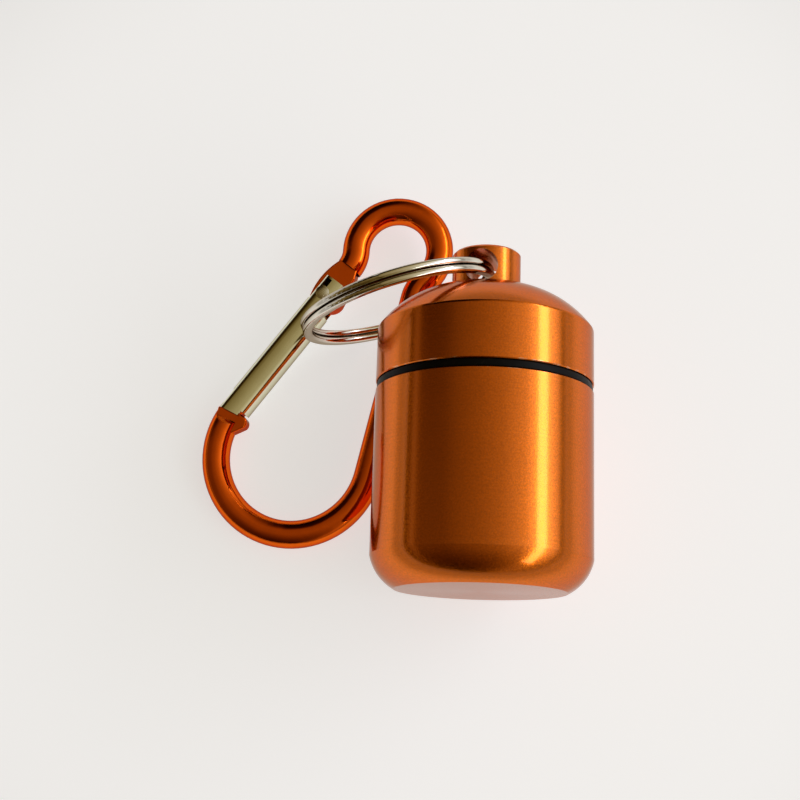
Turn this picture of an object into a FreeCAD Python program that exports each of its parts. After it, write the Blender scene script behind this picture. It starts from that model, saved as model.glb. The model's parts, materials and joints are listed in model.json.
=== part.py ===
import FreeCAD, Part
import math
import os

from FreeCAD import Placement, Rotation, Vector

# Pill canister with a screw cap, hung by a split ring on a small gourd-shaped snap hook.
# Lengths are in millimetres. The canister lies on its side along +Y, with the centre of its base
# face on the origin, +Z up from the table that it lies on and the snap hook beside it at -X.

# Canister body
canister_radius = 12.5
base_disc_radius = 9.7
base_edge_height = 3.65
base_edge_lead_deg = 12.0
body_height = 22.57
floor_thickness = 1.6
bore_corner_radius = 1.5
thread_wall = 1.2
rim_chamfer = 0.1
mouth_relief = 0.12

# Screw thread between the body and the cap
thread_rise = 1.5
thread_depth = 0.7
thread_clearance = 0.15
ridge_crest_width = 0.35
ridge_turns = 3.0
groove_lead_turns = 1
flank_spread_share = 1.0

# Seal ring, squeezed between the two rims
seal_gap = 0.95
seal_inset = 0.12
seal_clearance = 0.02
seal_corner_radius = 0.3

# Cap
cap_wall_height = 6.33
dome_rise = 5.05
dome_radius = 12.0
shoulder_round = 0.45
spigot_length = 6.5
spigot_wall = 1.45
spigot_chamfer = 0.3
cap_cavity_height = 5.9
cap_cavity_corner = 2.0

# Lug on the cap, and the hole across it
lug_radius = 4.0
lug_height = 4.55
lug_chamfer = 0.25
hole_radius = 1.95
hole_depth = 2.5
hole_tilt_deg = 10.0

# Split ring of flat wire, two turns laid side by side
ring_mean_radius = 11.25
ring_wire_width = 1.2
ring_wire_thickness = 0.8
ring_wire_corner = 0.37
ring_coil_gap = 0.12
ring_drop = 0.7
ring_play = 0.45
ring_heading_deg = 18.0
ring_lean_deg = 3.5
ring_step_start_deg = 303.0
ring_step_deg = 30.0
ring_step_sections = 7

# Snap hook: a round rod bent to a gourd outline
rod_radius = 1.7
big_loop_radius = 9.55
small_loop_radius = 5.27
loop_distance = 29.05
waist_radius = 4.0
side_angle_deg = 12.0
hook_heading_deg = 65.4
link_height = 21.75
spine_clearance = 0.05
link_clearance = 0.12

# Nose of the hook, the flattened end of the rod, with a lobe and a tip that the gate closes over.
# Its flats and the end of the gate are square to the rod a little way round the big loop.
nose_thickness = 2.1
nose_skew_deg = 11.0
nose_length = 1.66
nose_flat = 0.89
nose_root = 2.5
nose_reach = 2.66
nose_outer = 1.6
nose_tip_outer = 1.15
nose_round = 0.85
nose_lobe_drop = 0.7
nose_flank_deg = 15.0
nose_tip = 1.1
nose_tip_gap = 0.16
nose_edge_round = 0.3

# Flat tang at the other end of the rod, which the gate turns on
tang_thickness = 2.5
tang_bulge = 1.6
tang_bulge_height = 2.0
tang_taper = 0.9
tang_root = 0.4
tang_toe = 1.15
tang_toe_set = 0.2
tang_edge_round = 0.2
cam_radius = 1.8
cam_throw = 0.9
cam_angle_deg = 103.0

# Gate, a rolled tube with two cheeks over the tang
gate_span = 18.25
gate_offset = 0.4
gate_set = 0.12
gate_width = 3.6
gate_height = 3.6
gate_wall = 0.45
gate_corner_radius = 1.1
gate_crown_deg = 14.0
gate_head = 2.2
gate_end_reach = 0.45
gate_inner_end = 1.02
gate_lobe_gap = 0.25
gate_outer_slot = 1.45
gate_inner_slot = 2.3
gate_nose_slot = 2.05
gate_stop_depth = 10.0
gate_stop_thickness = 0.4
gate_open_deg = 25.0
window_width = 0.72
window_length = 1.05
window_rise = 1.4
window_offset = -0.35
window_pocket = 0.9
window_margin = 0.12

# Rivet, plunger and spring of the gate
rivet_radius = 0.55
rivet_clearance = 0.05
rivet_head_radius = 0.84
rivet_head_height = 0.28
rivet_edge_height = 0.08
plunger_radius = 1.15
plunger_head_length = 1.4
plunger_stem_radius = 0.5
plunger_stem_length = 2.6
plunger_chamfer = 0.15
plunger_gap = 0.02
spring_mean_radius = 0.85
spring_wire_radius = 0.17
spring_turns = 7
spring_seat_gap = 0.03

# Reach of every cutting tool past the face that it cuts
overrun = 1.0

full_turn = 360.0
half_turn = 180.0
right_angle = 90.0

ORIGIN = Vector(0, 0, 0)
X_AXIS = Vector(1, 0, 0)
Y_AXIS = Vector(0, 1, 0)
Z_AXIS = Vector(0, 0, 1)


def cos_deg(angle):
    return math.cos(math.radians(angle))


def sin_deg(angle):
    return math.sin(math.radians(angle))


# Sizes that follow from the ones above
groove_root_radius = canister_radius - thread_wall
bore_radius = groove_root_radius - thread_depth
ridge_crest_radius = groove_root_radius - thread_clearance
spigot_radius = ridge_crest_radius - thread_depth
spigot_bore = spigot_radius - spigot_wall
spigot_bottom = body_height - spigot_length
cap_bottom = body_height + seal_gap
shoulder_height = cap_bottom + cap_wall_height
dome_top = shoulder_height + dome_rise
lug_top = dome_top + lug_height
hole_height = lug_top - hole_depth
table_height = -canister_radius
ring_inner_radius = ring_mean_radius - ring_wire_width / 2
ring_outer_radius = ring_mean_radius + ring_wire_width / 2


def line(start, end):
    return Part.LineSegment(start, end).toShape()


def arc(start, middle, end):
    return Part.Arc(start, middle, end).toShape()


def tangent_arc(start, tangent, end):
    """Arc that leaves start along tangent and ends at end."""
    chord = end - start
    along = Vector(chord).normalize()
    aside = tangent - along * tangent.dot(along)
    half_angle = math.atan2(aside.Length, tangent.dot(along))
    sagitta = chord.Length / 2 * math.tan(half_angle / 2)
    return arc(start, start + chord / 2 + aside.normalize() * sagitta, end)


def biarc(start, start_tangent, end, end_tangent):
    """Two arcs that join two points with the given unit tangents."""
    chord = end - start
    both = start_tangent + end_tangent
    slack = 2 * (1 - start_tangent.dot(end_tangent))
    reach = (math.sqrt(chord.dot(both) ** 2 + slack * chord.dot(chord)) - chord.dot(both)) / slack
    middle = (start + start_tangent * reach + end - end_tangent * reach) / 2
    last = tangent_arc(end, end_tangent * -1, middle)
    return [tangent_arc(start, start_tangent, middle), Part.Wire(last).reversed().Edges[0]]


def turned(edges):
    """Solid turned on the Y axis from a closed outline of radius (x) and height (y)."""
    return Part.Face(Part.Wire(edges)).revolve(ORIGIN, Y_AXIS, full_turn)


def outline(points):
    """Straight edges through points of radius and height."""
    corners = [Vector(x, y, 0) for x, y in points]
    return [line(a, b) for a, b in zip(corners, corners[1:])]


def corner_arc(centre, radius, start_deg, end_deg):
    """Arc about a centre given as (x, y)."""
    def point(angle):
        return Vector(centre[0] + radius * cos_deg(angle), centre[1] + radius * sin_deg(angle), 0)
    return arc(point(start_deg), point((start_deg + end_deg) / 2), point(end_deg))


def joined(edges):
    """Closed wire of edges in order, with straight edges across their gaps."""
    chain = []
    for edge, following in zip(edges, edges[1:] + edges[:1]):
        chain.append(edge)
        end = edge.lastVertex(True).Point
        start = following.firstVertex(True).Point
        if end.distanceToPoint(start) > Part.Vertex(end).Tolerance:
            chain.append(line(end, start))
    return Part.Wire(chain)


def rounded_rectangle(width, height, corner):
    """Closed wire about the origin in the XY plane."""
    x = width / 2 - corner
    y = height / 2 - corner
    centres = ((x, y), (-x, y), (-x, -y), (x, -y))
    arcs = []
    for index, centre in enumerate(centres):
        start = index * right_angle
        arcs.append(corner_arc(centre, corner, start, start + right_angle))
    return joined(arcs)


def crowned_rectangle(width, height, corner, crown_deg):
    """Closed wire like a rounded rectangle, with sides that swell and run smoothly into its corners."""
    swell = 1 + math.tan(math.radians(crown_deg) / 2)
    x = (width / 2 - corner) / swell
    y = (height / 2 - corner) / swell
    centres = ((x, y), (-x, y), (-x, -y), (x, -y))
    arcs = []
    for index, centre in enumerate(centres):
        start = index * right_angle
        arcs.append(corner_arc(centre, corner, start + crown_deg, start + right_angle - crown_deg))
    middles = ((0, height / 2), (-width / 2, 0), (0, -height / 2), (width / 2, 0))
    edges = []
    for bend, following, middle in zip(arcs, arcs[1:] + arcs[:1], middles):
        end = bend.lastVertex(True).Point
        start = following.firstVertex(True).Point
        edges += [bend, arc(end, Vector(*middle, 0), start)]
    return Part.Wire(edges)


def prism(wire, low, high):
    """Solid between two heights from a closed wire in the XY plane."""
    face = Part.Face(wire)
    face.translate(Vector(0, 0, low))
    return face.extrude(Vector(0, 0, high - low))


def block(low, high):
    """Box between two corners."""
    size = high - low
    return Part.makeBox(size.x, size.y, size.z, low)


# The screw thread

def thread_form(inner_radius, outer_radius, outer_width, start_height, turns):
    """Helical ridge about Y, wider at its inner radius by the spread of its flanks."""
    inner_half = (outer_width + (outer_radius - inner_radius) * flank_spread_share) / 2
    outer_half = outer_width / 2
    section = Part.makePolygon([
        Vector(inner_radius, 0, -inner_half),
        Vector(outer_radius, 0, -outer_half),
        Vector(outer_radius, 0, outer_half),
        Vector(inner_radius, 0, inner_half),
        Vector(inner_radius, 0, -inner_half),
    ])
    path = Part.makeHelix(thread_rise, thread_rise * turns, inner_radius)
    ridge = Part.Wire(path.Edges).makePipeShell([section], True, True)
    ridge.translate(Vector(0, 0, start_height))
    ridge.rotate(ORIGIN, X_AXIS, -right_angle)
    return ridge


def ridge_start():
    root_width = ridge_crest_width + thread_depth * flank_spread_share
    return spigot_bottom + spigot_chamfer + root_width / 2


def cap_ridge():
    root = spigot_radius - thread_clearance
    return thread_form(root, ridge_crest_radius, ridge_crest_width, ridge_start(), ridge_turns)


def body_groove():
    flank_gap = thread_clearance * math.hypot(flank_spread_share / 2, 1)
    crest_gap = thread_clearance * flank_spread_share
    width = ridge_crest_width + 2 * flank_gap - crest_gap
    start = ridge_start() - groove_lead_turns * thread_rise
    turns = math.ceil((body_height - start) / thread_rise) + groove_lead_turns
    inner = bore_radius - thread_clearance
    return thread_form(inner, groove_root_radius, width, start, turns)


# The pieces of the canister

def canister_body():
    disc_edge = Vector(base_disc_radius, 0, 0)
    wall_foot = Vector(canister_radius, base_edge_height, 0)
    lead = Vector(-sin_deg(base_edge_lead_deg), -cos_deg(base_edge_lead_deg), 0)
    base_edge = tangent_arc(wall_foot, lead, disc_edge)
    corner = (bore_radius - bore_corner_radius, floor_thickness + bore_corner_radius)
    inside = corner_arc(corner, bore_corner_radius, 0, -right_angle)
    outside = outline([
        (canister_radius, base_edge_height),
        (canister_radius, body_height - rim_chamfer),
        (canister_radius - rim_chamfer, body_height),
        (groove_root_radius + mouth_relief, body_height),
        (bore_radius, body_height - thread_depth - mouth_relief),
        (bore_radius, floor_thickness + bore_corner_radius),
    ])
    base = outline([
        (bore_radius - bore_corner_radius, floor_thickness),
        (0, floor_thickness),
        (0, 0),
        (base_disc_radius, 0),
    ])
    body = turned(outside + [inside] + base + [base_edge])
    return body.cut(body_groove())


def seal_ring():
    inner = spigot_radius + thread_clearance
    outer = canister_radius - seal_inset
    height = seal_gap - 2 * seal_clearance
    section = rounded_rectangle(outer - inner, height, seal_corner_radius)
    section.translate(Vector((inner + outer) / 2, body_height + seal_gap / 2, 0))
    return Part.Face(section).revolve(ORIGIN, Y_AXIS, full_turn)


def dome_edge():
    """Arc from the shoulder up to the foot of the lug."""
    foot = Vector(canister_radius, shoulder_height, 0)
    top = Vector(lug_radius, dome_top, 0)
    chord = top - foot
    outward = Vector(-chord.y, chord.x, 0).normalize() * -1
    sagitta = dome_radius - math.sqrt(dome_radius ** 2 - (chord.Length / 2) ** 2)
    return arc(foot, foot + chord / 2 + outward * sagitta, top)


def lug_hole_axis():
    return Vector(-sin_deg(hole_tilt_deg), 0, cos_deg(hole_tilt_deg))


def lug_hole():
    reach = lug_radius + overrun
    start = Vector(0, hole_height, 0) - lug_hole_axis() * reach
    return Part.makeCylinder(hole_radius, 2 * reach, start, lug_hole_axis())


def cap():
    cavity_top = cap_bottom + cap_cavity_height
    corner = (spigot_bore - cap_cavity_corner, cavity_top - cap_cavity_corner)
    roof = corner_arc(corner, cap_cavity_corner, right_angle, 0)
    outside = outline([
        (spigot_bore, cavity_top - cap_cavity_corner),
        (spigot_bore, spigot_bottom),
        (spigot_radius - spigot_chamfer, spigot_bottom),
        (spigot_radius, spigot_bottom + spigot_chamfer),
        (spigot_radius, cap_bottom),
        (canister_radius - rim_chamfer, cap_bottom),
        (canister_radius, cap_bottom + rim_chamfer),
        (canister_radius, shoulder_height),
    ])
    top = outline([
        (lug_radius, dome_top),
        (lug_radius, lug_top - lug_chamfer),
        (lug_radius - lug_chamfer, lug_top),
        (0, lug_top),
        (0, cavity_top),
        (spigot_bore - cap_cavity_corner, cavity_top),
    ])
    shell = turned(outside + [dome_edge()] + top + [roof])
    shell = shell.makeFillet(shoulder_round, [shoulder_line(shell)])
    return shell.cut(lug_hole()).fuse(cap_ridge())


def shoulder_line(shell):
    """The circle where the wall of the cap meets its dome."""
    place = Vector(canister_radius, shoulder_height, 0)
    return min(shell.Edges, key=lambda edge: edge.distToShape(Part.Vertex(place))[0] + edge_spread(edge))


def edge_spread(edge):
    """How far an edge climbs, which is nothing for a circle about the Y axis."""
    return edge.BoundBox.YLength


# The split ring, made about its own Z axis and then stood up beside the lug

def ring_section(angle, height):
    section = rounded_rectangle(ring_wire_width, ring_wire_thickness, ring_wire_corner)
    section.rotate(ORIGIN, X_AXIS, right_angle)
    section.translate(Vector(ring_mean_radius, 0, height))
    section.rotate(ORIGIN, Z_AXIS, angle)
    return section


def ring_placement():
    to_lug = Vector(cos_deg(ring_heading_deg), sin_deg(ring_heading_deg), 0)
    up = Rotation(to_lug, ring_lean_deg).multVec(Z_AXIS)
    chord = math.sqrt(ring_mean_radius ** 2 - ring_drop ** 2)
    centre = Vector(0, hole_height, 0) - up * ring_drop - to_lug * (chord - ring_play)
    return Placement(centre, Rotation(to_lug, up, to_lug.cross(up), "XYZ"))


def split_ring():
    lift = (ring_wire_thickness + ring_coil_gap) / 2
    step_end = ring_step_start_deg + ring_step_deg
    sweep = full_turn - ring_step_deg
    low_turn = Part.Face(ring_section(step_end, -lift)).revolve(ORIGIN, Z_AXIS, sweep)
    high_turn = Part.Face(ring_section(step_end, lift)).revolve(ORIGIN, Z_AXIS, sweep)
    sections = []
    for index in range(ring_step_sections):
        share = index / (ring_step_sections - 1)
        ease = share * share * (3 - 2 * share)
        sections.append(ring_section(ring_step_start_deg + share * ring_step_deg, lift * (2 * ease - 1)))
    step = Part.makeLoft(sections, True, False)
    ring = low_turn.fuse([step, high_turn])
    ring.Placement = ring_placement().multiply(ring.Placement)
    return ring


# The snap hook, made flat with its big loop about the origin and its small loop at +Y

def hook_points():
    """Joints of the rod's centre line on the spine side, and the waist's centre."""
    normal = Vector(cos_deg(side_angle_deg), sin_deg(side_angle_deg), 0)
    along = Vector(-sin_deg(side_angle_deg), cos_deg(side_angle_deg), 0)
    small_centre = Vector(0, loop_distance, 0)
    reach = small_loop_radius + waist_radius
    aside = big_loop_radius + waist_radius - small_centre.dot(normal)
    length = small_centre.dot(along) - math.sqrt(reach ** 2 - aside ** 2)
    spine_foot = normal * big_loop_radius
    spine_top = spine_foot + along * length
    waist_centre = spine_top + normal * waist_radius
    outward = (waist_centre - small_centre).normalize()
    return spine_foot, spine_top, small_centre + outward * small_loop_radius, along


def mirrored(point):
    return Vector(-point.x, point.y, point.z)


def rod():
    spine_foot, spine_top, neck, along = hook_points()
    bottom = Vector(0, -big_loop_radius, 0)
    crown = Vector(0, loop_distance + small_loop_radius, 0)
    waist = tangent_arc(spine_top, along, neck)
    last = tangent_arc(mirrored(spine_top), mirrored(along), mirrored(neck))
    path = Part.Wire([
        arc(mirrored(spine_foot), bottom, spine_foot),
        line(spine_foot, spine_top),
        waist,
        arc(neck, crown, mirrored(neck)),
        Part.Wire(last).reversed().Edges[0],
    ])
    section = Part.Wire(Part.makeCircle(rod_radius, mirrored(spine_foot), mirrored(along)))
    return path.makePipeShell([section], True, False)


def gate_placement():
    """Place of the gate's own frame: origin on the rivet, +X into the hook, +Y to the small loop."""
    spine_foot, spine_top, neck, along = hook_points()
    inward = Vector(cos_deg(side_angle_deg), -sin_deg(side_angle_deg), 0)
    rivet = mirrored(spine_foot) + mirrored(along) * gate_span + inward * (gate_set - gate_offset)
    return Placement(rivet, Rotation(Z_AXIS, -side_angle_deg))


def hook_placement():
    """Lay the hook on the table with its spine through the ring, close beside the canister."""
    spine_foot, spine_top, neck, along = hook_points()
    turn = Rotation(Z_AXIS, hook_heading_deg - right_angle)
    spine = turn.multVec(along)
    ring = ring_placement()
    to_lug, up, across = [ring.Rotation.multVec(axis) for axis in (X_AXIS, Y_AXIS, Z_AXIS)]
    level = ring.Base.z - ring_inner_radius * up.z + rod_radius + link_clearance
    reach = canister_radius + rod_radius + spine_clearance
    beside = Vector(-math.sqrt(reach ** 2 - level ** 2), shoulder_height, level)
    link = beside + spine * ((ring.Base - beside).dot(across) / spine.dot(across))
    offset = (link - ring.Base).dot(to_lug)
    link.z += (ring_inner_radius - math.sqrt(ring_inner_radius ** 2 - offset ** 2)) * up.z
    on_spine = spine_foot + along * ((link_height - spine_foot.y) / along.y)
    rise = link.z - table_height - rod_radius
    tilt = math.degrees(math.asin(rise / (big_loop_radius + link_height)))
    turn = turn.multiply(Rotation(X_AXIS, tilt))
    return Placement(link - turn.multVec(on_spine), turn)


def nose_middle():
    """Line of the rod in the gate's frame, beside the rivet by the set of the gate."""
    return gate_offset - gate_set


def nose_placement():
    """Place of the nose's frame in the gate's: origin where the gate's end crosses the rod's line."""
    return Placement(Vector(nose_middle(), -gate_span - gate_end_reach, 0), Rotation(Z_AXIS, nose_skew_deg))


def nose_plate():
    """Flattened end of the rod, with a lobe that stands into the hook and a tip inside the gate."""
    middle = nose_middle()
    outer = middle - nose_outer
    lobe = (middle + nose_reach - nose_round, -gate_span - nose_lobe_drop)
    tip_edge = gate_offset + gate_width / 2 - gate_wall - nose_tip_gap
    root = -gate_span - nose_root
    rod_edge = middle + big_loop_radius - math.sqrt((big_loop_radius - rod_radius) ** 2 - nose_root ** 2)
    edges = [
        corner_arc(lobe, nose_round, -nose_flank_deg, right_angle),
        line(Vector(tip_edge, lobe[1] + nose_round, 0), Vector(tip_edge, nose_tip - gate_span, 0)),
        line(Vector(middle - nose_tip_outer, nose_tip - gate_span, 0),
             Vector(outer, -gate_span - nose_flat, 0)),
        line(Vector(middle - rod_radius / 2, root, 0), Vector(rod_edge - nose_edge_round, root, 0)),
    ]
    plate = prism(joined(edges), -nose_thickness / 2, nose_thickness / 2)
    rims = [edge for edge in plate.Edges if edge.BoundBox.ZLength < nose_edge_round]
    return plate.makeFillet(nose_edge_round, rims)


def nose_shave():
    """What the press takes off the two sides of the rod's end: a slope and then a flat."""
    side = Part.makePolygon([
        Vector(0, -nose_length, rod_radius),
        Vector(0, -nose_flat, nose_thickness / 2),
        Vector(0, nose_length, nose_thickness / 2),
        Vector(0, nose_length, rod_radius + overrun),
        Vector(0, -nose_length, rod_radius + overrun),
        Vector(0, -nose_length, rod_radius),
    ])
    upper = Part.Face(side).extrude(Vector(2 * (nose_reach + overrun), 0, 0))
    upper.translate(Vector(-nose_reach - overrun, 0, 0))
    return [placed(piece, nose_placement()) for piece in (upper, upper.mirror(ORIGIN, Z_AXIS))]


def cam_centre():
    return (cam_throw * sin_deg(cam_angle_deg), -cam_throw * cos_deg(cam_angle_deg))


def tang_height():
    spine_foot, spine_top, neck, along = hook_points()
    return (spine_top - spine_foot).Length - gate_span


def tang():
    """Flat tang: a bulged outer edge, a round cam end, a root in the rod and a pocket for the window."""
    middle = nose_middle()
    root = tang_height() + tang_root
    root_half = math.sqrt(rod_radius ** 2 - (tang_thickness / 2) ** 2)
    neck = Vector(middle - root_half, root, 0)
    shoulder = Vector(middle + rod_radius, tang_height() - tang_taper, 0)
    toe = Vector(gate_offset - gate_width / 2 + tang_toe_set, -tang_toe, 0)
    edges = [
        corner_arc(cam_centre(), cam_radius, half_turn + right_angle / 2, full_turn),
        line(shoulder, Vector(middle + root_half, root, 0)),
        arc(neck, Vector(-tang_bulge, tang_bulge_height, 0), toe),
    ]
    plate = prism(joined(edges), -tang_thickness / 2, tang_thickness / 2)
    rims = [edge for edge in plate.Edges if edge.BoundBox.ZLength < tang_edge_round]
    plate = plate.makeFillet(tang_edge_round, rims)
    hole = Part.makeCylinder(rivet_radius + rivet_clearance, tang_thickness + 2 * overrun,
                             Vector(0, 0, -tang_thickness / 2 - overrun))
    return plate.cut([hole, window_block(window_margin, tang_thickness / 2 - window_pocket)])


def window_block(margin, floor):
    """What is cut for the window in the cheek, wider by a margin and down to a floor."""
    half_width = window_width / 2 + margin
    half_length = window_length / 2 + margin
    return block(Vector(window_offset - half_width, window_rise - half_length, floor),
                 Vector(window_offset + half_width, window_rise + half_length, gate_height))


def placed(shape, *places):
    """The shape carried through each place in turn."""
    for place in places:
        shape.Placement = place.multiply(shape.Placement)
    return shape


def hook_frame():
    ends = [placed(piece, gate_placement()) for piece in (nose_plate(), tang())]
    shaves = [placed(piece, gate_placement()) for piece in nose_shave()]
    frame = rod().cut(shaves).fuse(ends)
    return placed(frame, hook_placement())


# The gate and what works it, made about the rivet and then set in the hook

def gate_tube():
    outer = crowned_rectangle(gate_width, gate_height, gate_corner_radius, gate_crown_deg)
    inner = crowned_rectangle(gate_width - 2 * gate_wall, gate_height - 2 * gate_wall,
                              gate_corner_radius - gate_wall, gate_crown_deg)
    end = -gate_span - gate_end_reach - overrun
    tube = prism(outer, end, gate_head)
    bore = prism(inner, end - overrun, gate_head + overrun)
    floor = prism(inner, -gate_stop_depth - gate_stop_thickness, -gate_stop_depth)
    tube = tube.cut(bore).fuse(floor)
    tube.rotate(ORIGIN, X_AXIS, -right_angle)
    tube.translate(Vector(gate_offset, 0, 0))
    return tube


def gate_end_cut():
    """What is cut off past the gate's end, which lies along the flats of the nose."""
    reach = gate_width + overrun
    waste = block(Vector(-reach, -reach, -gate_height), Vector(reach, 0, gate_height))
    return placed(waste, nose_placement())


def gate():
    half_space = gate_height / 2 - gate_wall
    reach = gate_width + overrun
    top = gate_head + overrun
    lobe_top = nose_round - nose_lobe_drop - gate_span
    slots = [
        block(Vector(-reach, -gate_outer_slot, -half_space), Vector(0, top, half_space)),
        block(Vector(0, -gate_inner_slot, -half_space), Vector(reach, top, half_space)),
        block(Vector(-reach, -gate_span - reach, -half_space),
              Vector(0, gate_nose_slot - gate_span, half_space)),
        block(Vector(gate_offset + gate_inner_end, -gate_span - reach, -gate_height),
              Vector(reach, lobe_top + gate_lobe_gap, gate_height)),
        gate_end_cut(),
        window_block(0, 0),
        Part.makeCylinder(rivet_radius, gate_height + 2 * overrun,
                          Vector(0, 0, -gate_height / 2 - overrun)),
    ]
    tube = gate_tube().cut(slots)
    return placed(tube, gate_placement(), hook_placement())


def rivet():
    half = gate_height / 2
    head = outline([(rivet_radius, half), (rivet_head_radius, half),
                    (rivet_head_radius, half + rivet_edge_height)])
    crown = Vector(0, half + rivet_head_height, 0)
    rim = Vector(rivet_head_radius, half + rivet_edge_height, 0)
    dome = Part.Wire(tangent_arc(crown, X_AXIS, rim)).reversed().Edges[0]
    upper = head + [dome]
    lower = [edge.mirror(ORIGIN, Y_AXIS) for edge in upper]
    shank = line(Vector(rivet_radius, -half, 0), Vector(rivet_radius, half, 0))
    axis = line(crown * -1, crown)
    shape = turned(Part.__sortEdges__(upper + lower + [shank, axis]))
    shape.rotate(ORIGIN, X_AXIS, right_angle)
    return placed(shape, gate_placement(), hook_placement())


def plunger_face():
    """Height of the plunger's flat face below the rivet, just clear of the cam."""
    return cam_radius - cam_centre()[1] + plunger_gap


def plunger():
    shape = turned(outline([
        (0, 0),
        (plunger_radius - plunger_chamfer, 0),
        (plunger_radius, -plunger_chamfer),
        (plunger_radius, -plunger_head_length),
        (plunger_stem_radius, -plunger_head_length),
        (plunger_stem_radius, -plunger_head_length - plunger_stem_length),
        (0, -plunger_head_length - plunger_stem_length),
        (0, 0),
    ]))
    shape.translate(Vector(gate_offset, -plunger_face(), 0))
    return placed(shape, gate_placement(), hook_placement())


def spring():
    top = plunger_face() + plunger_head_length + spring_seat_gap + spring_wire_radius
    bottom = gate_stop_depth - spring_seat_gap - spring_wire_radius
    rise = (bottom - top) / spring_turns
    quarters = 4 * spring_turns

    def point(quarter):
        angle = quarter * right_angle
        return Vector(spring_mean_radius * cos_deg(angle), -top - rise * quarter / 4,
                      spring_mean_radius * sin_deg(angle))

    def tangent(quarter):
        angle = quarter * right_angle
        slope = rise / (2 * math.pi)
        return Vector(-spring_mean_radius * sin_deg(angle), -slope,
                      spring_mean_radius * cos_deg(angle)).normalize()

    edges = []
    for quarter in range(quarters):
        edges += biarc(point(quarter), tangent(quarter), point(quarter + 1), tangent(quarter + 1))
    section = Part.Wire(Part.makeCircle(spring_wire_radius, point(0), tangent(0)))
    wire = Part.Wire(edges).makePipeShell([section], True, False)
    wire.translate(Vector(gate_offset, 0, 0))
    print("least gap between the spring's turns", round(rise - 2 * spring_wire_radius, 3))
    return placed(wire, gate_placement(), hook_placement())


PIECES = {
    "canister_body": canister_body,
    "seal_ring": seal_ring,
    "cap": cap,
    "split_ring": split_ring,
    "carabiner_frame": hook_frame,
    "gate": gate,
    "gate_rivet": rivet,
    "gate_plunger": plunger,
    "gate_spring": spring,
}


def main():
    os.makedirs("parts", exist_ok=True)
    for name, make in PIECES.items():
        shape = make()
        shape.exportStep("parts/" + name + ".step")
        print(name, len(shape.Solids), "solid", shape.isValid(), round(shape.Volume, 2))


if __name__ == "__main__":
    main()
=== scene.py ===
import json
import math

import bpy
from mathutils import Matrix, Vector


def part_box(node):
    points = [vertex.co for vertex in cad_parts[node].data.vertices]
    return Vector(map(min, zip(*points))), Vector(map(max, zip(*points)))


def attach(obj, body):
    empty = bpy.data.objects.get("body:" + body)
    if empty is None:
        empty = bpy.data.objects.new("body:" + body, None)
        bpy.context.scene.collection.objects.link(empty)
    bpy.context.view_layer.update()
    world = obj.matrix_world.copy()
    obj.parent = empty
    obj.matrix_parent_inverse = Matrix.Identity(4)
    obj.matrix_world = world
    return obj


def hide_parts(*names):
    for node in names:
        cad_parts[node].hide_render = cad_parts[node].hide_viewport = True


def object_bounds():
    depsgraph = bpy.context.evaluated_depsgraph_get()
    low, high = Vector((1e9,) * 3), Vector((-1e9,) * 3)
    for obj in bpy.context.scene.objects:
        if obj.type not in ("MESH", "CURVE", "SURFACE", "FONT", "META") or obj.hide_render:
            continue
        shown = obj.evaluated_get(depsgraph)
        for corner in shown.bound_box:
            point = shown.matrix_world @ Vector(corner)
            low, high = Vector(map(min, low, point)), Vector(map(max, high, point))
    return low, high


bl_info = {
    "name": "Pill Fob Keychain",
    "version": (1, 0, 0),
    "blender": (4, 5, 0),
    "location": "3D View > Sidebar > Fob",
    "description": "Finishes the packed pill fob and sets it on a pale studio floor",
    "category": "Object",
}

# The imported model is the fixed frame. Everything here is in metres, in its axes: the canister lies
# along +Y with its base on the origin, +Z is up, and the snap hook lies at -X.
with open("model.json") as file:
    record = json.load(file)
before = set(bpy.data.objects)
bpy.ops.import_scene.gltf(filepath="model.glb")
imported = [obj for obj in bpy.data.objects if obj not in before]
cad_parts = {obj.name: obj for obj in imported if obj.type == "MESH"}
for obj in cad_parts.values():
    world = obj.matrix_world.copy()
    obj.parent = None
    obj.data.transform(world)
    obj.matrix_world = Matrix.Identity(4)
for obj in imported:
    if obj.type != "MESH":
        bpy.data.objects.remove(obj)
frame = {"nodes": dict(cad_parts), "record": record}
CAD_LOW, CAD_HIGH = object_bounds()
JOINTS = {joint["name"]: joint for joint in frame["record"]["behaviour"]["joints"]}
MM = 0.001


def linear(hex_code):
    """Linear red, green and blue of an sRGB hex colour."""
    shares = [int(hex_code[place:place + 2], 16) / 255 for place in (1, 3, 5)]
    return tuple(s / 12.92 if s <= 0.04045 else ((s + 0.055) / 1.055) ** 2.4 for s in shares)


def add_node(tree, kind, inputs=None, **settings):
    """Adds a node, sets its fields, and fills inputs with links from sockets or plain values."""
    node = tree.nodes.new(kind)
    for field, value in settings.items():
        setattr(node, field, value)
    for name, value in (inputs or {}).items():
        if isinstance(value, bpy.types.NodeSocket):
            tree.links.new(value, node.inputs[name])
        else:
            node.inputs[name].default_value = value
    return node


def new_material(name):
    """An empty node material, its tree, its output and the socket of places on the piece."""
    material = bpy.data.materials.new(name)
    material.use_nodes = True
    tree = material.node_tree
    tree.nodes.clear()
    output = add_node(tree, "ShaderNodeOutputMaterial")
    return material, tree, output, add_node(tree, "ShaderNodeTexCoord").outputs["Object"]


def dress(material, *names):
    """Puts a finish on CAD nodes, in place of their plain one."""
    for name in names:
        mesh = frame["nodes"][name].data
        mesh.materials.clear()
        mesh.materials.append(material)


def deselect():
    """Leaves nothing selected, so that the next operator acts on its own piece alone."""
    bpy.ops.object.select_all(action="DESELECT")


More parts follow.
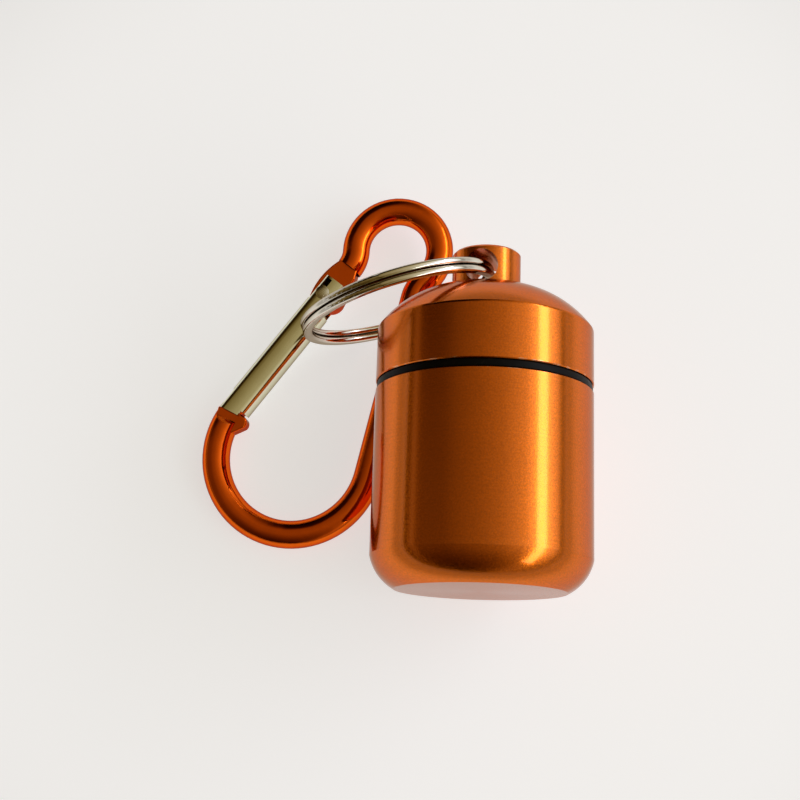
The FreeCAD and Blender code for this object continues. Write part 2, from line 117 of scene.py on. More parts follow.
def select_vertices(piece, test):
    """Leaves the piece in edit mode with the vertices selected whose place passes the test."""
    bpy.ops.object.mode_set(mode="EDIT")
    bpy.ops.mesh.select_mode(type="VERT")
    bpy.ops.mesh.select_all(action="DESELECT")
    bpy.ops.object.mode_set(mode="OBJECT")
    for vertex in piece.data.vertices:
        vertex.select = test(vertex.co)
    bpy.ops.object.mode_set(mode="EDIT")


class CanisterSettings(bpy.types.PropertyGroup):
    """Finish of the turned canister and its cap."""

    dye: bpy.props.FloatVectorProperty(
        name="Dye", description="Colour of the dyed oxide over the aluminium",
        subtype="COLOR", min=0, max=1, default=linear("#E16F07"))
    bare: bpy.props.FloatVectorProperty(
        name="Bare Metal", description="Colour where the oxide is nicked or rubbed off an edge",
        subtype="COLOR", min=0, max=1, default=linear("#F0DFC4"))
    turning: bpy.props.FloatProperty(
        name="Turning Marks", description="Spacing of the rings that the lathe tool left",
        unit="LENGTH", default=0.22 * MM)
    grain: bpy.props.FloatProperty(
        name="Etch Grain",
        description="Size of the grain that etching left, drawn coarse enough to show",
        unit="LENGTH", default=0.2 * MM)
    edge: bpy.props.FloatProperty(
        name="Edge Wear", description="Width of the worn line along sharp edges",
        unit="LENGTH", default=0.1 * MM)


class SealSettings(bpy.types.PropertyGroup):
    """Rubber ring in the seam."""

    colour: bpy.props.FloatVectorProperty(
        name="Colour", description="Colour of the rubber",
        subtype="COLOR", min=0, max=1, default=linear("#0A0807"))
    depth: bpy.props.FloatProperty(
        name="Depth", description="Depth of the ring's section, towards the axis",
        unit="LENGTH", default=1.2 * MM)
    rounding: bpy.props.FloatProperty(
        name="Rounding", description="Radius of the corners of the ring's section",
        unit="LENGTH", default=0.24 * MM)
    flash: bpy.props.FloatProperty(
        name="Flash", description="Height of the moulding line round the ring",
        unit="LENGTH", default=0.05 * MM)
    steps: bpy.props.IntProperty(
        name="Steps", description="Steps round the ring", default=240)


class RingSettings(bpy.types.PropertyGroup):
    """Plated split ring."""

    plating: bpy.props.FloatVectorProperty(
        name="Plating", description="Colour of the nickel",
        subtype="COLOR", min=0, max=1, default=linear("#EAE4D6"))
    drawing: bpy.props.FloatProperty(
        name="Drawing Marks", description="Spacing of the scratches along the drawn wire",
        unit="LENGTH", default=0.1 * MM)


class HookSettings(bpy.types.PropertyGroup):
    """Snap hook, its gate and what works it."""

    dye: bpy.props.FloatVectorProperty(
        name="Dye", description="Colour of the dyed oxide on the tumbled rod",
        subtype="COLOR", min=0, max=1, default=linear("#EE630A"))
    steel: bpy.props.FloatVectorProperty(
        name="Gate Steel", description="Colour of the plated gate",
        subtype="COLOR", min=0, max=1, default=linear("#F2F1D6"))
    wave: bpy.props.FloatProperty(
        name="Wave", description="Width of the shallow waves left by tumbling",
        unit="LENGTH", default=2.2 * MM)
    rolling: bpy.props.FloatProperty(
        name="Rolling Marks", description="Spacing of the lines along the rolled sheet",
        unit="LENGTH", default=0.12 * MM)


class StageSettings(bpy.types.PropertyGroup):
    """Camera, floor and light."""

    camera_place: bpy.props.FloatVectorProperty(
        name="Camera Place", description="Where the camera stands",
        subtype="XYZ", unit="LENGTH", default=(0.41 * MM, -14.39 * MM, 146.33 * MM))
    camera_turn: bpy.props.FloatVectorProperty(
        name="Camera Turn",
        description="Turn of the scene as the camera sees it, as one axis times its angle",
        subtype="XYZ", unit="ROTATION",
        default=tuple(math.radians(angle) for angle in (-13.89, -3.68, -1.52)))
    lens: bpy.props.FloatProperty(
        name="Lens", description="Focal length on a 36 mm sensor, in millimetres",
        unit="CAMERA", default=58.98)
    floor: bpy.props.FloatVectorProperty(
        name="Floor", description="Colour of the floor",
        subtype="COLOR", min=0, max=1, default=linear("#BABABC"))
    radius: bpy.props.FloatProperty(
        name="Floor Radius", description="Distance to the upright rim of the floor",
        unit="LENGTH", default=1.4)
    rim: bpy.props.FloatProperty(
        name="Rim", description="Height of the floor's rim, which hides the horizon",
        unit="LENGTH", default=0.14)
    lift: bpy.props.FloatProperty(
        name="Lift",
        description="Light of its own that the floor shows to the eye and to mirrors",
        subtype="FACTOR", min=0, max=1, default=0.62)
    far_lift: bpy.props.FloatProperty(
        name="Far Lift", description="The same, far from the object",
        subtype="FACTOR", min=0, max=1, default=0.24)
    near: bpy.props.FloatProperty(
        name="Near", description="Distance at which the floor begins to grow dim",
        unit="LENGTH", default=58 * MM)
    far: bpy.props.FloatProperty(
        name="Far", description="Distance from which the floor stays dim",
        unit="LENGTH", default=150 * MM)
    room: bpy.props.FloatProperty(
        name="Room", description="Strength of the light from the room", default=1.0)
    window: bpy.props.FloatProperty(
        name="Window", description="Brightness of the bright strip of the window", default=3.3)


# Colour sockets of a Mix node, by number, because its other kinds of socket share their names
MIX_A, MIX_B, MIX_OUT = 6, 7, 2
# Values that most of a noise lies between
NOISE_LOW, NOISE_HIGH = 0.3, 0.7

# Worn edges: the size of a nick, the noise from which nicks show, and the cosine of the surface's
# bend at which wear begins and at which it is full
NICK = 0.9 * MM
NICK_FROM = 0.52
BEND_FROM, BEND_FULL = 0.995, 0.93
# Hollows: the share of open sky at which painted shade begins and at which it is darkest
SKY_OPEN, SKY_SHUT = 0.8, 0.3

# Both dyed metals have a clear oxide over the dye. The slant colour of a metal is what is left of
# a reflection that grazes it, and the reach of the painted shade is the width of the hollows it
# darkens.
OXIDE_IOR = 1.6
CANISTER_CLOUD = 7 * MM
CANISTER_RING_HEIGHT = 0.004 * MM
CANISTER_GRAIN_HEIGHT = 0.01 * MM
CANISTER_NICK_SOFTNESS = 0.12
# Painted shade in the canister's hollows: its colour, and the reach over which cover darkens it
CANISTER_PAINTED_SHADE = linear("#1C0E06")
CANISTER_SHADE_REACH = 3.5 * MM
CANISTER_SLANT = linear("#C0AC9C")
ROD_SPECK = 0.16 * MM
ROD_WAVE_HEIGHT = 0.08 * MM
ROD_SPECK_HEIGHT = 0.003 * MM
ROD_NICK_SOFTNESS = 0.2
ROD_BARE = linear("#F0A060")
# Painted shade in the rod's hollows: its colour, and the reach over which cover darkens it
ROD_PAINTED_SHADE = linear("#140A06")
ROD_SHADE_REACH = 1.5 * MM
ROD_SLANT = linear("#A0948C")

# Plated steel. A mark along an axis is a spot drawn together to this share of its length.
STEEL_STAIN = 2.6 * MM
STEEL_MARK_HEIGHT = 0.003 * MM
STEEL_MARK_SHARE = 0.04
# Painted shade in the steel's corners and gaps: its colour, and the reach over which cover darkens
# it
STEEL_PAINTED_SHADE = linear("#2A2018")
STEEL_SHADE_REACH = 0.5 * MM
STEEL_SLANT = linear("#A89A8C")
RIVET_STEEL = linear("#CFC8B4")
SPRING_STEEL = linear("#A8A298")

RUBBER_IOR = 1.52
RUBBER_SPECK = 0.5 * MM
RUBBER_SPECK_HEIGHT = 0.01 * MM
RUBBER_DUST = linear("#4A3C32")
BOARD_TOOTH = 0.6 * MM
BOARD_TOOTH_HEIGHT = 0.01 * MM


def edge_mask(tree, place, width, softness):
    """Socket that is 1 along sharp edges and 0 elsewhere, worn unevenly."""
    rounded = add_node(tree, "ShaderNodeBevel", {"Radius": width}, samples=6)
    surface = add_node(tree, "ShaderNodeNewGeometry")
    facing = add_node(tree, "ShaderNodeVectorMath",
                      {0: rounded.outputs["Normal"], 1: surface.outputs["Normal"]},
                      operation="DOT_PRODUCT")
    nicks = add_node(tree, "ShaderNodeTexNoise",
                     {"Vector": place, "Scale": 1 / NICK, "Detail": 4.0})
    bend = add_node(tree, "ShaderNodeMapRange",
                    {"Value": facing.outputs["Value"],
                     "From Min": BEND_FROM, "From Max": BEND_FULL})
    worn = add_node(tree, "ShaderNodeMapRange",
                    {"Value": nicks.outputs["Fac"],
                     "From Min": NICK_FROM, "From Max": NICK_FROM + softness})
    mask = add_node(tree, "ShaderNodeMath",
                    {0: bend.outputs["Result"], 1: worn.outputs["Result"]}, operation="MULTIPLY")
    return mask.outputs[0]


def painted_hollow_shade(tree, reach, most):
    """Socket of painted shade: 0 on open faces, rising in holes, slots and corners, where shade
    falls.
    """
    # Ambient occlusion drives painted shade: a point is darkened the less sky it sees within reach
    sky = add_node(tree, "ShaderNodeAmbientOcclusion", {"Distance": reach},
                   samples=8, only_local=True)
    # The share kept here is painted shade in the hollows, not dust
    dust = add_node(tree, "ShaderNodeMapRange",
                    {"Value": sky.outputs["AO"],
                     "From Min": SKY_OPEN, "From Max": SKY_SHUT, "To Max": most})
    return dust.outputs["Result"]


def turned_aluminium(settings):
    """Turned, etched and dyed aluminium.

    Fine rings round the axis draw each highlight out along the canister, and the etch gives it a
    faint grain, finer on the real one than it is drawn here. The dyed oxide takes more of the light
    that crosses it at a slant, so faces that are seen at a glance turn pale but dull.
    """
    material, tree, output, place = new_material("aluminium_turned_anodised_orange")
    axes = add_node(tree, "ShaderNodeSeparateXYZ", {0: place})
    flat = add_node(tree, "ShaderNodeVectorMath", {0: place, 1: (1.0, 0.0, 1.0)},
                    operation="MULTIPLY")
    radius = add_node(tree, "ShaderNodeVectorMath", {0: flat.outputs["Vector"]},
                      operation="LENGTH")
    travel = add_node(tree, "ShaderNodeMath",
                      {0: axes.outputs["Y"], 1: radius.outputs["Value"]}, operation="SUBTRACT")
    rings = add_node(tree, "ShaderNodeTexNoise",
                     {"W": travel.outputs[0], "Scale": 1 / settings.turning, "Detail": 3.0},
                     noise_dimensions="1D")
    grain = add_node(tree, "ShaderNodeTexNoise",
                     {"Vector": place, "Scale": 1 / settings.grain, "Detail": 2.0})
    cloud = add_node(tree, "ShaderNodeTexNoise",
                     {"Vector": place, "Scale": 1 / CANISTER_CLOUD, "Detail": 3.0})
    clouded = add_node(tree, "ShaderNodeMapRange",
                       {"Value": cloud.outputs["Fac"], "To Min": 0.92, "To Max": 1.06})
    ringed_tone = add_node(tree, "ShaderNodeMapRange",
                           {"Value": rings.outputs["Fac"], "From Min": 0.25, "From Max": 0.75,
                            "To Min": 0.97, "To Max": 1.03})
    grained_tone = add_node(tree, "ShaderNodeMapRange",
                            {"Value": grain.outputs["Fac"],
                             "From Min": NOISE_LOW, "From Max": NOISE_HIGH,
                             "To Min": 0.86, "To Max": 1.12})
    toned = add_node(tree, "ShaderNodeMath",
                     {0: clouded.outputs["Result"], 1: ringed_tone.outputs["Result"]},
                     operation="MULTIPLY")
    shade = add_node(tree, "ShaderNodeMath",
                     {0: toned.outputs[0], 1: grained_tone.outputs["Result"]},
                     operation="MULTIPLY")
    dye = add_node(tree, "ShaderNodeVectorMath",
                   {0: tuple(settings.dye), "Scale": shade.outputs[0]}, operation="SCALE")
    worn = edge_mask(tree, place, settings.edge, CANISTER_NICK_SOFTNESS)
    bared = add_node(tree, "ShaderNodeMix",
                     {"Factor": worn, MIX_A: dye.outputs["Vector"],
                      MIX_B: (*settings.bare, 1.0)}, data_type="RGBA")
    # Painted shade: hollows are mixed towards near-black brown, by how little sky they see
    colour = add_node(tree, "ShaderNodeMix",
                      {"Factor": painted_hollow_shade(tree, CANISTER_SHADE_REACH, most=0.85),
                       MIX_A: bared.outputs[MIX_OUT], MIX_B: (*CANISTER_PAINTED_SHADE, 1.0)},
                      data_type="RGBA")
    rough = add_node(tree, "ShaderNodeMapRange",
                     {"Value": grain.outputs["Fac"],
                      "From Min": NOISE_LOW, "From Max": NOISE_HIGH,
                      "To Min": 0.14, "To Max": 0.24})
    ringed = add_node(tree, "ShaderNodeBump",
                      {"Height": rings.outputs["Fac"], "Strength": 0.4,
                       "Distance": CANISTER_RING_HEIGHT})
    grained = add_node(tree, "ShaderNodeBump",
                       {"Height": grain.outputs["Fac"], "Strength": 0.6,
                        "Distance": CANISTER_GRAIN_HEIGHT, "Normal": ringed.outputs["Normal"]})
    # A quarter turn from the rings, so that highlights stretch across them
    round_axis = add_node(tree, "ShaderNodeTangent", direction_type="RADIAL", axis="Y")
    surface = add_node(tree, "ShaderNodeBsdfPrincipled", {
        "Base Color": colour.outputs[MIX_OUT], "Metallic": 1.0,
        "Roughness": rough.outputs["Result"], "Specular Tint": (*CANISTER_SLANT, 1.0),
        "Normal": grained.outputs["Normal"], "Anisotropic": 0.5, "Anisotropic Rotation": 0.25,
        "Tangent": round_axis.outputs["Tangent"],
        "Coat Weight": 0.35, "Coat Roughness": 0.1, "Coat IOR": OXIDE_IOR})
    tree.links.new(surface.outputs["BSDF"], output.inputs["Surface"])
    return material


def tumbled_aluminium(settings, edge):
    """Bent, tumbled and dyed aluminium rod.

    Tumbling leaves it near a mirror with shallow waves, so the lights run along it in broken
    streaks, deep red-orange between them. The dye is thick, and the outlines of the rod are dull.
    """
    material, tree, output, place = new_material("aluminium_tumbled_anodised_orange")
    waves = add_node(tree, "ShaderNodeTexNoise",
                     {"Vector": place, "Scale": 1 / settings.wave, "Detail": 2.0})
    specks = add_node(tree, "ShaderNodeTexNoise",
                      {"Vector": place, "Scale": 1 / ROD_SPECK, "Detail": 3.0})
    shade = add_node(tree, "ShaderNodeMapRange",
                     {"Value": waves.outputs["Fac"], "To Min": 0.85, "To Max": 1.1})
    dye = add_node(tree, "ShaderNodeVectorMath",
                   {0: tuple(settings.dye), "Scale": shade.outputs["Result"]}, operation="SCALE")
    worn = edge_mask(tree, place, edge, ROD_NICK_SOFTNESS)
    bared = add_node(tree, "ShaderNodeMix",
                     {"Factor": worn, MIX_A: dye.outputs["Vector"], MIX_B: (*ROD_BARE, 1.0)},
                     data_type="RGBA")
    # Painted shade: the rod's hollows are mixed towards near-black, by how little sky they see
    colour = add_node(tree, "ShaderNodeMix",
                      {"Factor": painted_hollow_shade(tree, ROD_SHADE_REACH, most=0.95),
                       MIX_A: bared.outputs[MIX_OUT], MIX_B: (*ROD_PAINTED_SHADE, 1.0)},
                      data_type="RGBA")
    rough = add_node(tree, "ShaderNodeMapRange",
                     {"Value": specks.outputs["Fac"],
                      "From Min": NOISE_LOW, "From Max": NOISE_HIGH,
                      "To Min": 0.05, "To Max": 0.13})
    waved = add_node(tree, "ShaderNodeBump",
                     {"Height": waves.outputs["Fac"], "Strength": 0.5,
                      "Distance": ROD_WAVE_HEIGHT})
    speckled = add_node(tree, "ShaderNodeBump",
                        {"Height": specks.outputs["Fac"], "Strength": 0.4,
                         "Distance": ROD_SPECK_HEIGHT, "Normal": waved.outputs["Normal"]})
    surface = add_node(tree, "ShaderNodeBsdfPrincipled", {
        "Base Color": colour.outputs[MIX_OUT], "Metallic": 1.0,
        "Roughness": rough.outputs["Result"], "Specular Tint": (*ROD_SLANT, 1.0),
        "Normal": speckled.outputs["Normal"],
        "Coat Weight": 0.08, "Coat Roughness": 0.06, "Coat IOR": OXIDE_IOR})
    tree.links.new(surface.outputs["BSDF"], output.inputs["Surface"])
    return material


def from_joint(tree, place, name):
    """Socket of places measured from a joint, with its axis as Z."""
    joint = JOINTS[name]
    turn = Vector(joint["axis"]).rotation_difference(Vector((0, 0, 1)))
    shift = turn @ Vector(joint.get("pos_m", (0, 0, 0)))
    turned = add_node(tree, "ShaderNodeMapping",
                      {"Vector": place, "Rotation": turn.to_euler(), "Location": -shift})
    return turned.outputs["Vector"]


def marks_round(tree, place, name):
    """Places in which a scratch round a joint's axis is one spot: its radius and its height."""
    local = from_joint(tree, place, name)
    axes = add_node(tree, "ShaderNodeSeparateXYZ", {0: local})
    flat = add_node(tree, "ShaderNodeVectorMath", {0: local, 1: (1.0, 1.0, 0.0)},
                    operation="MULTIPLY")
    radius = add_node(tree, "ShaderNodeVectorMath", {0: flat.outputs["Vector"]},
                      operation="LENGTH")
    spot = add_node(tree, "ShaderNodeCombineXYZ",
                    {"X": radius.outputs["Value"], "Y": axes.outputs["Z"]})
    return spot.outputs["Vector"]


def marks_along(tree, place, name):
    """Places drawn together along a joint's axis, so that each spot becomes a long scratch."""
    local = from_joint(tree, place, name)
    drawn = add_node(tree, "ShaderNodeVectorMath", {0: local, 1: (1.0, 1.0, STEEL_MARK_SHARE)},
                     operation="MULTIPLY")
    return drawn.outputs["Vector"]


def plated_steel(name, colour, lay, joint, spacing, *, low, high, shade_most):
    """Plated steel with fine marks one way, and painted shade in its corners.

    The plating is a clear mirror under a thin film of old oil, which takes the light that crosses
    it at a slant. Marks from drawing, rolling or spinning blur it a little, from roughness low to
    high, small stains dull it, and painted shade darkens the corners and gaps, at most by the share
    given.
    """
    material, tree, output, place = new_material(name)
    marks = add_node(tree, "ShaderNodeTexNoise",
                     {"Vector": lay(tree, place, joint), "Scale": 1 / spacing, "Detail": 3.0})
    stains = add_node(tree, "ShaderNodeTexNoise",
                      {"Vector": place, "Scale": 1 / STEEL_STAIN, "Detail": 5.0})
    shade = add_node(tree, "ShaderNodeMapRange",
                     {"Value": stains.outputs["Fac"], "To Min": 0.86, "To Max": 1.06})
    metal = add_node(tree, "ShaderNodeVectorMath",
                     {0: tuple(colour), "Scale": shade.outputs["Result"]}, operation="SCALE")
    # Painted shade: corners and gaps are mixed towards dark brown, by how little sky they see
    tone = add_node(tree, "ShaderNodeMix",
                    {"Factor": painted_hollow_shade(tree, STEEL_SHADE_REACH, shade_most),
                     MIX_A: metal.outputs["Vector"], MIX_B: (*STEEL_PAINTED_SHADE, 1.0)},
                    data_type="RGBA")
    rough = add_node(tree, "ShaderNodeMapRange",
                     {"Value": marks.outputs["Fac"],
                      "From Min": NOISE_LOW, "From Max": NOISE_HIGH,
                      "To Min": low, "To Max": high})
    bump = add_node(tree, "ShaderNodeBump",
                    {"Height": marks.outputs["Fac"], "Strength": 0.5,
                     "Distance": STEEL_MARK_HEIGHT})
    surface = add_node(tree, "ShaderNodeBsdfPrincipled", {
        "Base Color": tone.outputs[MIX_OUT], "Metallic": 1.0,
        "Roughness": rough.outputs["Result"], "Specular Tint": (*STEEL_SLANT, 1.0),
        "Normal": bump.outputs["Normal"]})
    tree.links.new(surface.outputs["BSDF"], output.inputs["Surface"])
    return material


def moulded_rubber(settings):
    """Moulded nitrile rubber.

    Black with a soft sheen, a little dusty, and greyer where the light grazes it.
    """
    material, tree, output, place = new_material("rubber_moulded_black")
    dust = add_node(tree, "ShaderNodeTexNoise",
                    {"Vector": place, "Scale": 1 / RUBBER_SPECK, "Detail": 4.0})
    amount = add_node(tree, "ShaderNodeMapRange",
                      {"Value": dust.outputs["Fac"], "From Min": 0.55, "From Max": 0.85,
                       "To Max": 0.12})
    colour = add_node(tree, "ShaderNodeMix",
                      {"Factor": amount.outputs["Result"],
                       MIX_A: (*settings.colour, 1.0), MIX_B: (*RUBBER_DUST, 1.0)},
                      data_type="RGBA")
    rough = add_node(tree, "ShaderNodeMapRange",
                     {"Value": dust.outputs["Fac"], "To Min": 0.32, "To Max": 0.58})
    bump = add_node(tree, "ShaderNodeBump",
                    {"Height": dust.outputs["Fac"], "Strength": 0.3,
                     "Distance": RUBBER_SPECK_HEIGHT})
    surface = add_node(tree, "ShaderNodeBsdfPrincipled", {
        "Base Color": colour.outputs[MIX_OUT], "Roughness": rough.outputs["Result"],
        "IOR": RUBBER_IOR, "Specular IOR Level": 0.08, "Normal": bump.outputs["Normal"]})
    tree.links.new(surface.outputs["BSDF"], output.inputs["Surface"])
    return material


class FOB_OT_canister(bpy.types.Operator):
    """Finish the canister and its cap as turned, dyed aluminium"""

    bl_idname = "fob.canister"
    bl_label = "Canister and Cap"

    def execute(self, context):
        dress(turned_aluminium(context.scene.fob_canister), "canister_body", "cap")
        return {"FINISHED"}


# Points of the seal's section that are closer than this are one
TOUCH = 0.001 * MM
# Cuts across the section's outer side, whose middle one is the moulding line
SEAL_CUTS = 3
SEAL_CORNER_STEPS = 6


class FOB_OT_seal(bpy.types.Operator):
    """Spin the rubber ring that fills the seam, with its moulding line"""

    bl_idname = "fob.seal"
    bl_label = "Seal Ring"

    def execute(self, context):
        settings = context.scene.fob_seal
        low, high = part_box("seal_ring")
        outer = high.x - settings.flash
        middle = (low.y + high.y) / 2
        deselect()
        bpy.ops.mesh.primitive_plane_add(
            size=1, location=(outer - settings.depth / 2, middle, 0))
        seal = context.object
        seal.name = "seal_o_ring"
        seal.scale = (settings.depth, high.y - low.y, 1)
        bpy.ops.object.transform_apply(location=True, rotation=True, scale=True)
        select_vertices(seal, lambda place: place.x > outer - TOUCH)
        bpy.ops.mesh.subdivide(number_cuts=SEAL_CUTS)
        bpy.ops.object.mode_set(mode="OBJECT")
        select_vertices(
            seal, lambda place: place.x > outer - TOUCH and abs(place.y - middle) < TOUCH)
        bpy.ops.transform.translate(value=(settings.flash, 0, 0))
        bpy.ops.object.mode_set(mode="OBJECT")
        select_vertices(seal, lambda place: min(place.y - low.y, high.y - place.y) < TOUCH)
        bpy.ops.mesh.bevel(
            offset=settings.rounding, segments=SEAL_CORNER_STEPS, affect="VERTICES")
        bpy.ops.mesh.select_all(action="SELECT")
        bpy.ops.mesh.delete(type="ONLY_FACE")
        bpy.ops.mesh.select_all(action="SELECT")
        bpy.ops.mesh.spin(
            steps=settings.steps, angle=2 * math.pi, center=(0, middle, 0), axis=(0, 1, 0))
        bpy.ops.mesh.select_all(action="SELECT")
        bpy.ops.mesh.remove_doubles(threshold=TOUCH)
        bpy.ops.mesh.normals_make_consistent(inside=False)
        bpy.ops.object.mode_set(mode="OBJECT")
        bpy.ops.object.shade_smooth()
        seal.data.materials.append(moulded_rubber(settings))
        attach(seal, "seal")
        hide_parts("seal_ring")
        return {"FINISHED"}


class FOB_OT_ring(bpy.types.Operator):
    """Finish the split ring as drawn, nickel-plated wire"""

    bl_idname = "fob.ring"
    bl_label = "Split Ring"

    def execute(self, context):
        settings = context.scene.fob_ring
        # The ring's hollows take painted shade, up to the last share given
        finish = plated_steel(
            "spring_steel_drawn_nickel_plated", settings.plating, marks_round, "hook_slide",
            settings.drawing, low=0.05, high=0.14, shade_most=0.85)
        dress(finish, "split_ring")
        return {"FINISHED"}


class FOB_OT_hook(bpy.types.Operator):
    """Finish the bent rod of the snap hook as tumbled, dyed aluminium"""

    bl_idname = "fob.hook"
    bl_label = "Hook Rod"

    def execute(self, context):
        edge = context.scene.fob_canister.edge
        dress(tumbled_aluminium(context.scene.fob_hook, edge), "carabiner_frame")
        return {"FINISHED"}


class FOB_OT_gate(bpy.types.Operator):
    """Finish the gate, its rivet, plunger and spring as plated steel"""

    bl_idname = "fob.gate"
    bl_label = "Gate and Rivet"

    def execute(self, context):
        settings = context.scene.fob_hook
        # The gate, rivet, plunger and spring take painted shade in their corners, up to the last
        # share given
        rolled = plated_steel(
            "steel_rolled_polished_plated", settings.steel, marks_along, "plunger_push",
            settings.rolling, low=0.07, high=0.16, shade_most=0.6)
        dress(rolled, "gate")
        spun = plated_steel(
            "steel_spun_plated", RIVET_STEEL, marks_round, "gate_swing",
            settings.rolling, low=0.2, high=0.34, shade_most=0.6)
        dress(spun, "gate_rivet", "gate_plunger")
        wire = plated_steel(
            "spring_steel_wound", SPRING_STEEL, marks_round, "plunger_push",
            settings.rolling, low=0.2, high=0.35, shade_most=0.6)
        dress(wire, "gate_spring")
        return {"FINISHED"}


# Brightness of the room, first by the angle in degrees from straight up towards the window at +X,
# then by the share of the canister's own direction, +Y, in the direction looked at
ROOM_ROUND = (
    (-180, 0.1), (-94, 0.08), (-81, 0.1), (-75, 0.4), (-69, 0.16), (-40, 0.16), (-15, 0.26),
    (0, 0.34), (20, 0.5), (43, 0.88), (52, 1.3), (60, 1.5), (70, 1.6), (80, 1.1), (90, 0.5),
    (180, 0.2))
ROOM_ALONG = (
    (-1.0, 0.2), (-0.8, 0.32), (-0.5, 0.62), (-0.2, 0.92), (0.0, 1.0), (0.4, 1.0), (0.65, 0.7),
    (0.85, 0.35), (1.0, 0.15))
# Middle of the darkest corner of the room, the shares of its direction where the dark begins and
# is full, and the light that is left there
ROOM_DARK = Vector((-0.55, 0.75, 0.37)).normalized()
DARK_FROM = 0.8
DARK_FULL = 0.91
DARK_LEVEL = 0.15
# Powers that turn a dim part of the room brown and leave a bright part white
ROOM_GREEN = 1.2
ROOM_BLUE = 1.8
# The bright strip of the window: its size, its distance and the side on which it hangs
WINDOW_WIDTH, WINDOW_LENGTH = 0.11, 1.1
WINDOW_DISTANCE = 0.55
WINDOW_SIDE = Vector((0.88, -0.05, 0.46)).normalized()
# The round floor: its sides, and the share of the rim's height and the steps that round its foot
FLOOR_SIDES = 96
FOOT_SHARE = 0.8
FOOT_STEPS = 10
# Width of the camera's sensor in millimetres, and the nearest distance that it sees
SENSOR = 36
CLIP_START = 0.005


def room_light(settings):
    """World of a dim, brown room that grows bright and white towards the window at +X."""
    world = bpy.data.worlds.new("room")
    world.use_nodes = True
    tree = world.node_tree
    tree.nodes.clear()
    looking = add_node(tree, "ShaderNodeTexCoord").outputs["Generated"]
    axes = add_node(tree, "ShaderNodeSeparateXYZ", {0: looking})
    angle = add_node(tree, "ShaderNodeMath", {0: axes.outputs["X"], 1: axes.outputs["Z"]},
                     operation="ARCTAN2")
    dark = add_node(tree, "ShaderNodeVectorMath", {0: looking, 1: ROOM_DARK},
                    operation="DOT_PRODUCT")
    darkened = add_node(tree, "ShaderNodeMapRange",
                        {"Value": dark.outputs["Value"],
                         "From Min": DARK_FROM, "From Max": DARK_FULL,
                         "To Min": settings.room, "To Max": settings.room * DARK_LEVEL})
    level = darkened.outputs["Result"]
    half_turns = [(degrees / 180, brightness) for degrees, brightness in ROOM_ROUND]
    for value, reach, stops in ((angle.outputs[0], math.pi, half_turns),
                                (axes.outputs["Y"], 1.0, ROOM_ALONG)):
        share = add_node(tree, "ShaderNodeMapRange",
                         {"Value": value, "From Min": -reach, "From Max": reach})
        ramp = add_node(tree, "ShaderNodeValToRGB", {"Fac": share.outputs["Result"]})
        elements = ramp.color_ramp.elements
        while len(elements) < len(stops):
            elements.new(0.5)
        for element, (position, brightness) in zip(elements, stops):
            element.position = (position + 1) / 2
            element.color = (brightness, brightness, brightness, 1.0)
        product = add_node(tree, "ShaderNodeMath", {0: ramp.outputs["Color"], 1: level},
                           operation="MULTIPLY")
        level = product.outputs[0]
    green = add_node(tree, "ShaderNodeMath", {0: level, 1: ROOM_GREEN}, operation="POWER")
    blue = add_node(tree, "ShaderNodeMath", {0: level, 1: ROOM_BLUE}, operation="POWER")
    colour = add_node(tree, "ShaderNodeCombineColor",
                      {"Red": level, "Green": green.outputs[0], "Blue": blue.outputs[0]})
    back = add_node(tree, "ShaderNodeBackground", {"Color": colour.outputs["Color"]})
    add_node(tree, "ShaderNodeOutputWorld", {"Surface": back.outputs["Background"]})
    return world


def window_strip(radiance, target):
    """Long lamp beside the canister, as bright as the strip of sky in the window."""
    bpy.ops.object.light_add(type="AREA", location=target + WINDOW_SIDE * WINDOW_DISTANCE)
    lamp = bpy.context.object
    lamp.name = "window_strip"
    lamp.data.shape = "RECTANGLE"
    lamp.data.size = WINDOW_LENGTH
    lamp.data.size_y = WINDOW_WIDTH
    lamp.data.energy = radiance * math.pi * WINDOW_WIDTH * WINDOW_LENGTH
    lamp.rotation_euler = (-WINDOW_SIDE).to_track_quat("-Z", "Y").to_euler()


def floor_material(settings, middle):
    """Matt white board that keeps the shadow, under a painted pool of light.

    Its own glow is lifted alike for the eye and for mirrors, and grows dim far from the object: a
    painted pool of light round it.
    """
    material, tree, output, place = new_material("board_matt_white_painted_glow")
    tooth = add_node(tree, "ShaderNodeTexNoise",
                     {"Vector": place, "Scale": 1 / BOARD_TOOTH, "Detail": 3.0})
    bump = add_node(tree, "ShaderNodeBump",
                    {"Height": tooth.outputs["Fac"], "Strength": 0.1,
                     "Distance": BOARD_TOOTH_HEIGHT})
    board = add_node(tree, "ShaderNodeBsdfDiffuse",
                     {"Color": (*settings.floor, 1.0), "Normal": bump.outputs["Normal"]})
    ray = add_node(tree, "ShaderNodeLightPath")
    mirrors = add_node(tree, "ShaderNodeMath",
                       {0: ray.outputs["Is Glossy Ray"], 1: ray.outputs["Is Transmission Ray"]},
                       operation="ADD")
    seen = add_node(tree, "ShaderNodeMath",
                    {0: ray.outputs["Is Camera Ray"], 1: mirrors.outputs[0]},
                    operation="ADD", use_clamp=True)
    distance = add_node(tree, "ShaderNodeVectorMath", {0: place, 1: middle},
                        operation="DISTANCE")
    # Painted pool of light: the floor's glow is brightest near the object and fades with distance
    lift = add_node(tree, "ShaderNodeMapRange",
                    {"Value": distance.outputs["Value"],
                     "From Min": settings.near, "From Max": settings.far,
                     "To Min": settings.lift, "To Max": settings.far_lift},
                    interpolation_type="SMOOTHSTEP")
    strength = add_node(tree, "ShaderNodeMath",
                        {0: seen.outputs[0], 1: lift.outputs["Result"]}, operation="MULTIPLY")
    glow = add_node(tree, "ShaderNodeEmission", {"Strength": strength.outputs[0]})
    both = add_node(tree, "ShaderNodeAddShader",
                    {0: board.outputs["BSDF"], 1: glow.outputs["Emission"]})
    tree.links.new(both.outputs["Shader"], output.inputs["Surface"])
    return material


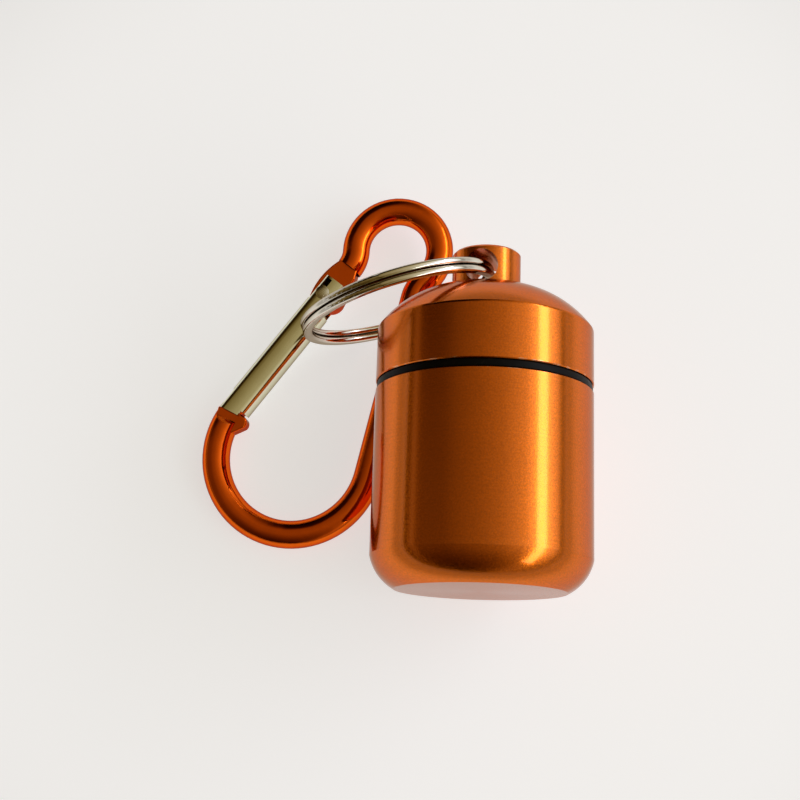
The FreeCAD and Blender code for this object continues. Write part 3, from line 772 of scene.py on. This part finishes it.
class FOB_OT_stage(bpy.types.Operator):
    """Set the floor, the camera and the light"""

    bl_idname = "fob.stage"
    bl_label = "Stage"

    def execute(self, context):
        settings = context.scene.fob_stage
        middle = (CAD_LOW + CAD_HIGH) / 2
        deselect()
        bpy.ops.mesh.primitive_circle_add(
            vertices=FLOOR_SIDES, radius=settings.radius, fill_type="NGON",
            location=(0, 0, CAD_LOW.z))
        floor = context.object
        floor.name = "floor"
        bpy.ops.object.transform_apply(location=True, rotation=True, scale=True)
        bpy.ops.object.mode_set(mode="EDIT")
        bpy.ops.mesh.select_mode(type="EDGE")
        bpy.ops.mesh.select_all(action="SELECT")
        bpy.ops.mesh.extrude_edges_move(TRANSFORM_OT_translate={"value": (0, 0, settings.rim)})
        bpy.ops.object.mode_set(mode="OBJECT")
        select_vertices(floor, lambda place: place.z < CAD_LOW.z + settings.rim / 2)
        bpy.ops.mesh.bevel(
            offset=settings.rim * FOOT_SHARE, segments=FOOT_STEPS, affect="EDGES")
        bpy.ops.object.mode_set(mode="OBJECT")
        bpy.ops.object.shade_smooth_by_angle()
        floor.data.materials.append(floor_material(settings, middle))
        window_strip(settings.window, middle)
        context.scene.world = room_light(settings)
        turn = Vector(settings.camera_turn)
        bpy.ops.object.camera_add(location=settings.camera_place)
        camera = context.object
        camera.rotation_euler = Matrix.Rotation(turn.length, 3, turn).transposed().to_euler()
        camera.data.sensor_width = SENSOR
        camera.data.lens = settings.lens
        camera.data.clip_start = CLIP_START
        context.scene.camera = camera
        context.scene.view_settings.view_transform = "Standard"
        return {"FINISHED"}


class FOB_PT_panel(bpy.types.Panel):
    """Steps that finish the pill fob"""

    bl_idname = "FOB_PT_panel"
    bl_label = "Pill Fob Keychain"
    bl_space_type = "VIEW_3D"
    bl_region_type = "UI"
    bl_category = "Fob"

    def draw(self, context):
        for step in STEPS:
            self.layout.operator(step.bl_idname)


SETTINGS = {
    "fob_canister": CanisterSettings,
    "fob_seal": SealSettings,
    "fob_ring": RingSettings,
    "fob_hook": HookSettings,
    "fob_stage": StageSettings,
}
STEPS = (FOB_OT_canister, FOB_OT_seal, FOB_OT_ring, FOB_OT_hook, FOB_OT_gate, FOB_OT_stage)
CLASSES = (*SETTINGS.values(), *STEPS, FOB_PT_panel)


def register():
    for each in CLASSES:
        bpy.utils.register_class(each)
    for name, group in SETTINGS.items():
        setattr(bpy.types.Scene, name, bpy.props.PointerProperty(type=group))


def unregister():
    for name in SETTINGS:
        delattr(bpy.types.Scene, name)
    for each in reversed(CLASSES):
        bpy.utils.unregister_class(each)


def main():
    register()
    bpy.ops.fob.canister()
    bpy.ops.fob.seal()
    bpy.ops.fob.ring()
    bpy.ops.fob.hook()
    bpy.ops.fob.gate()
    bpy.ops.fob.stage()


if __name__ == "__main__":
    main()
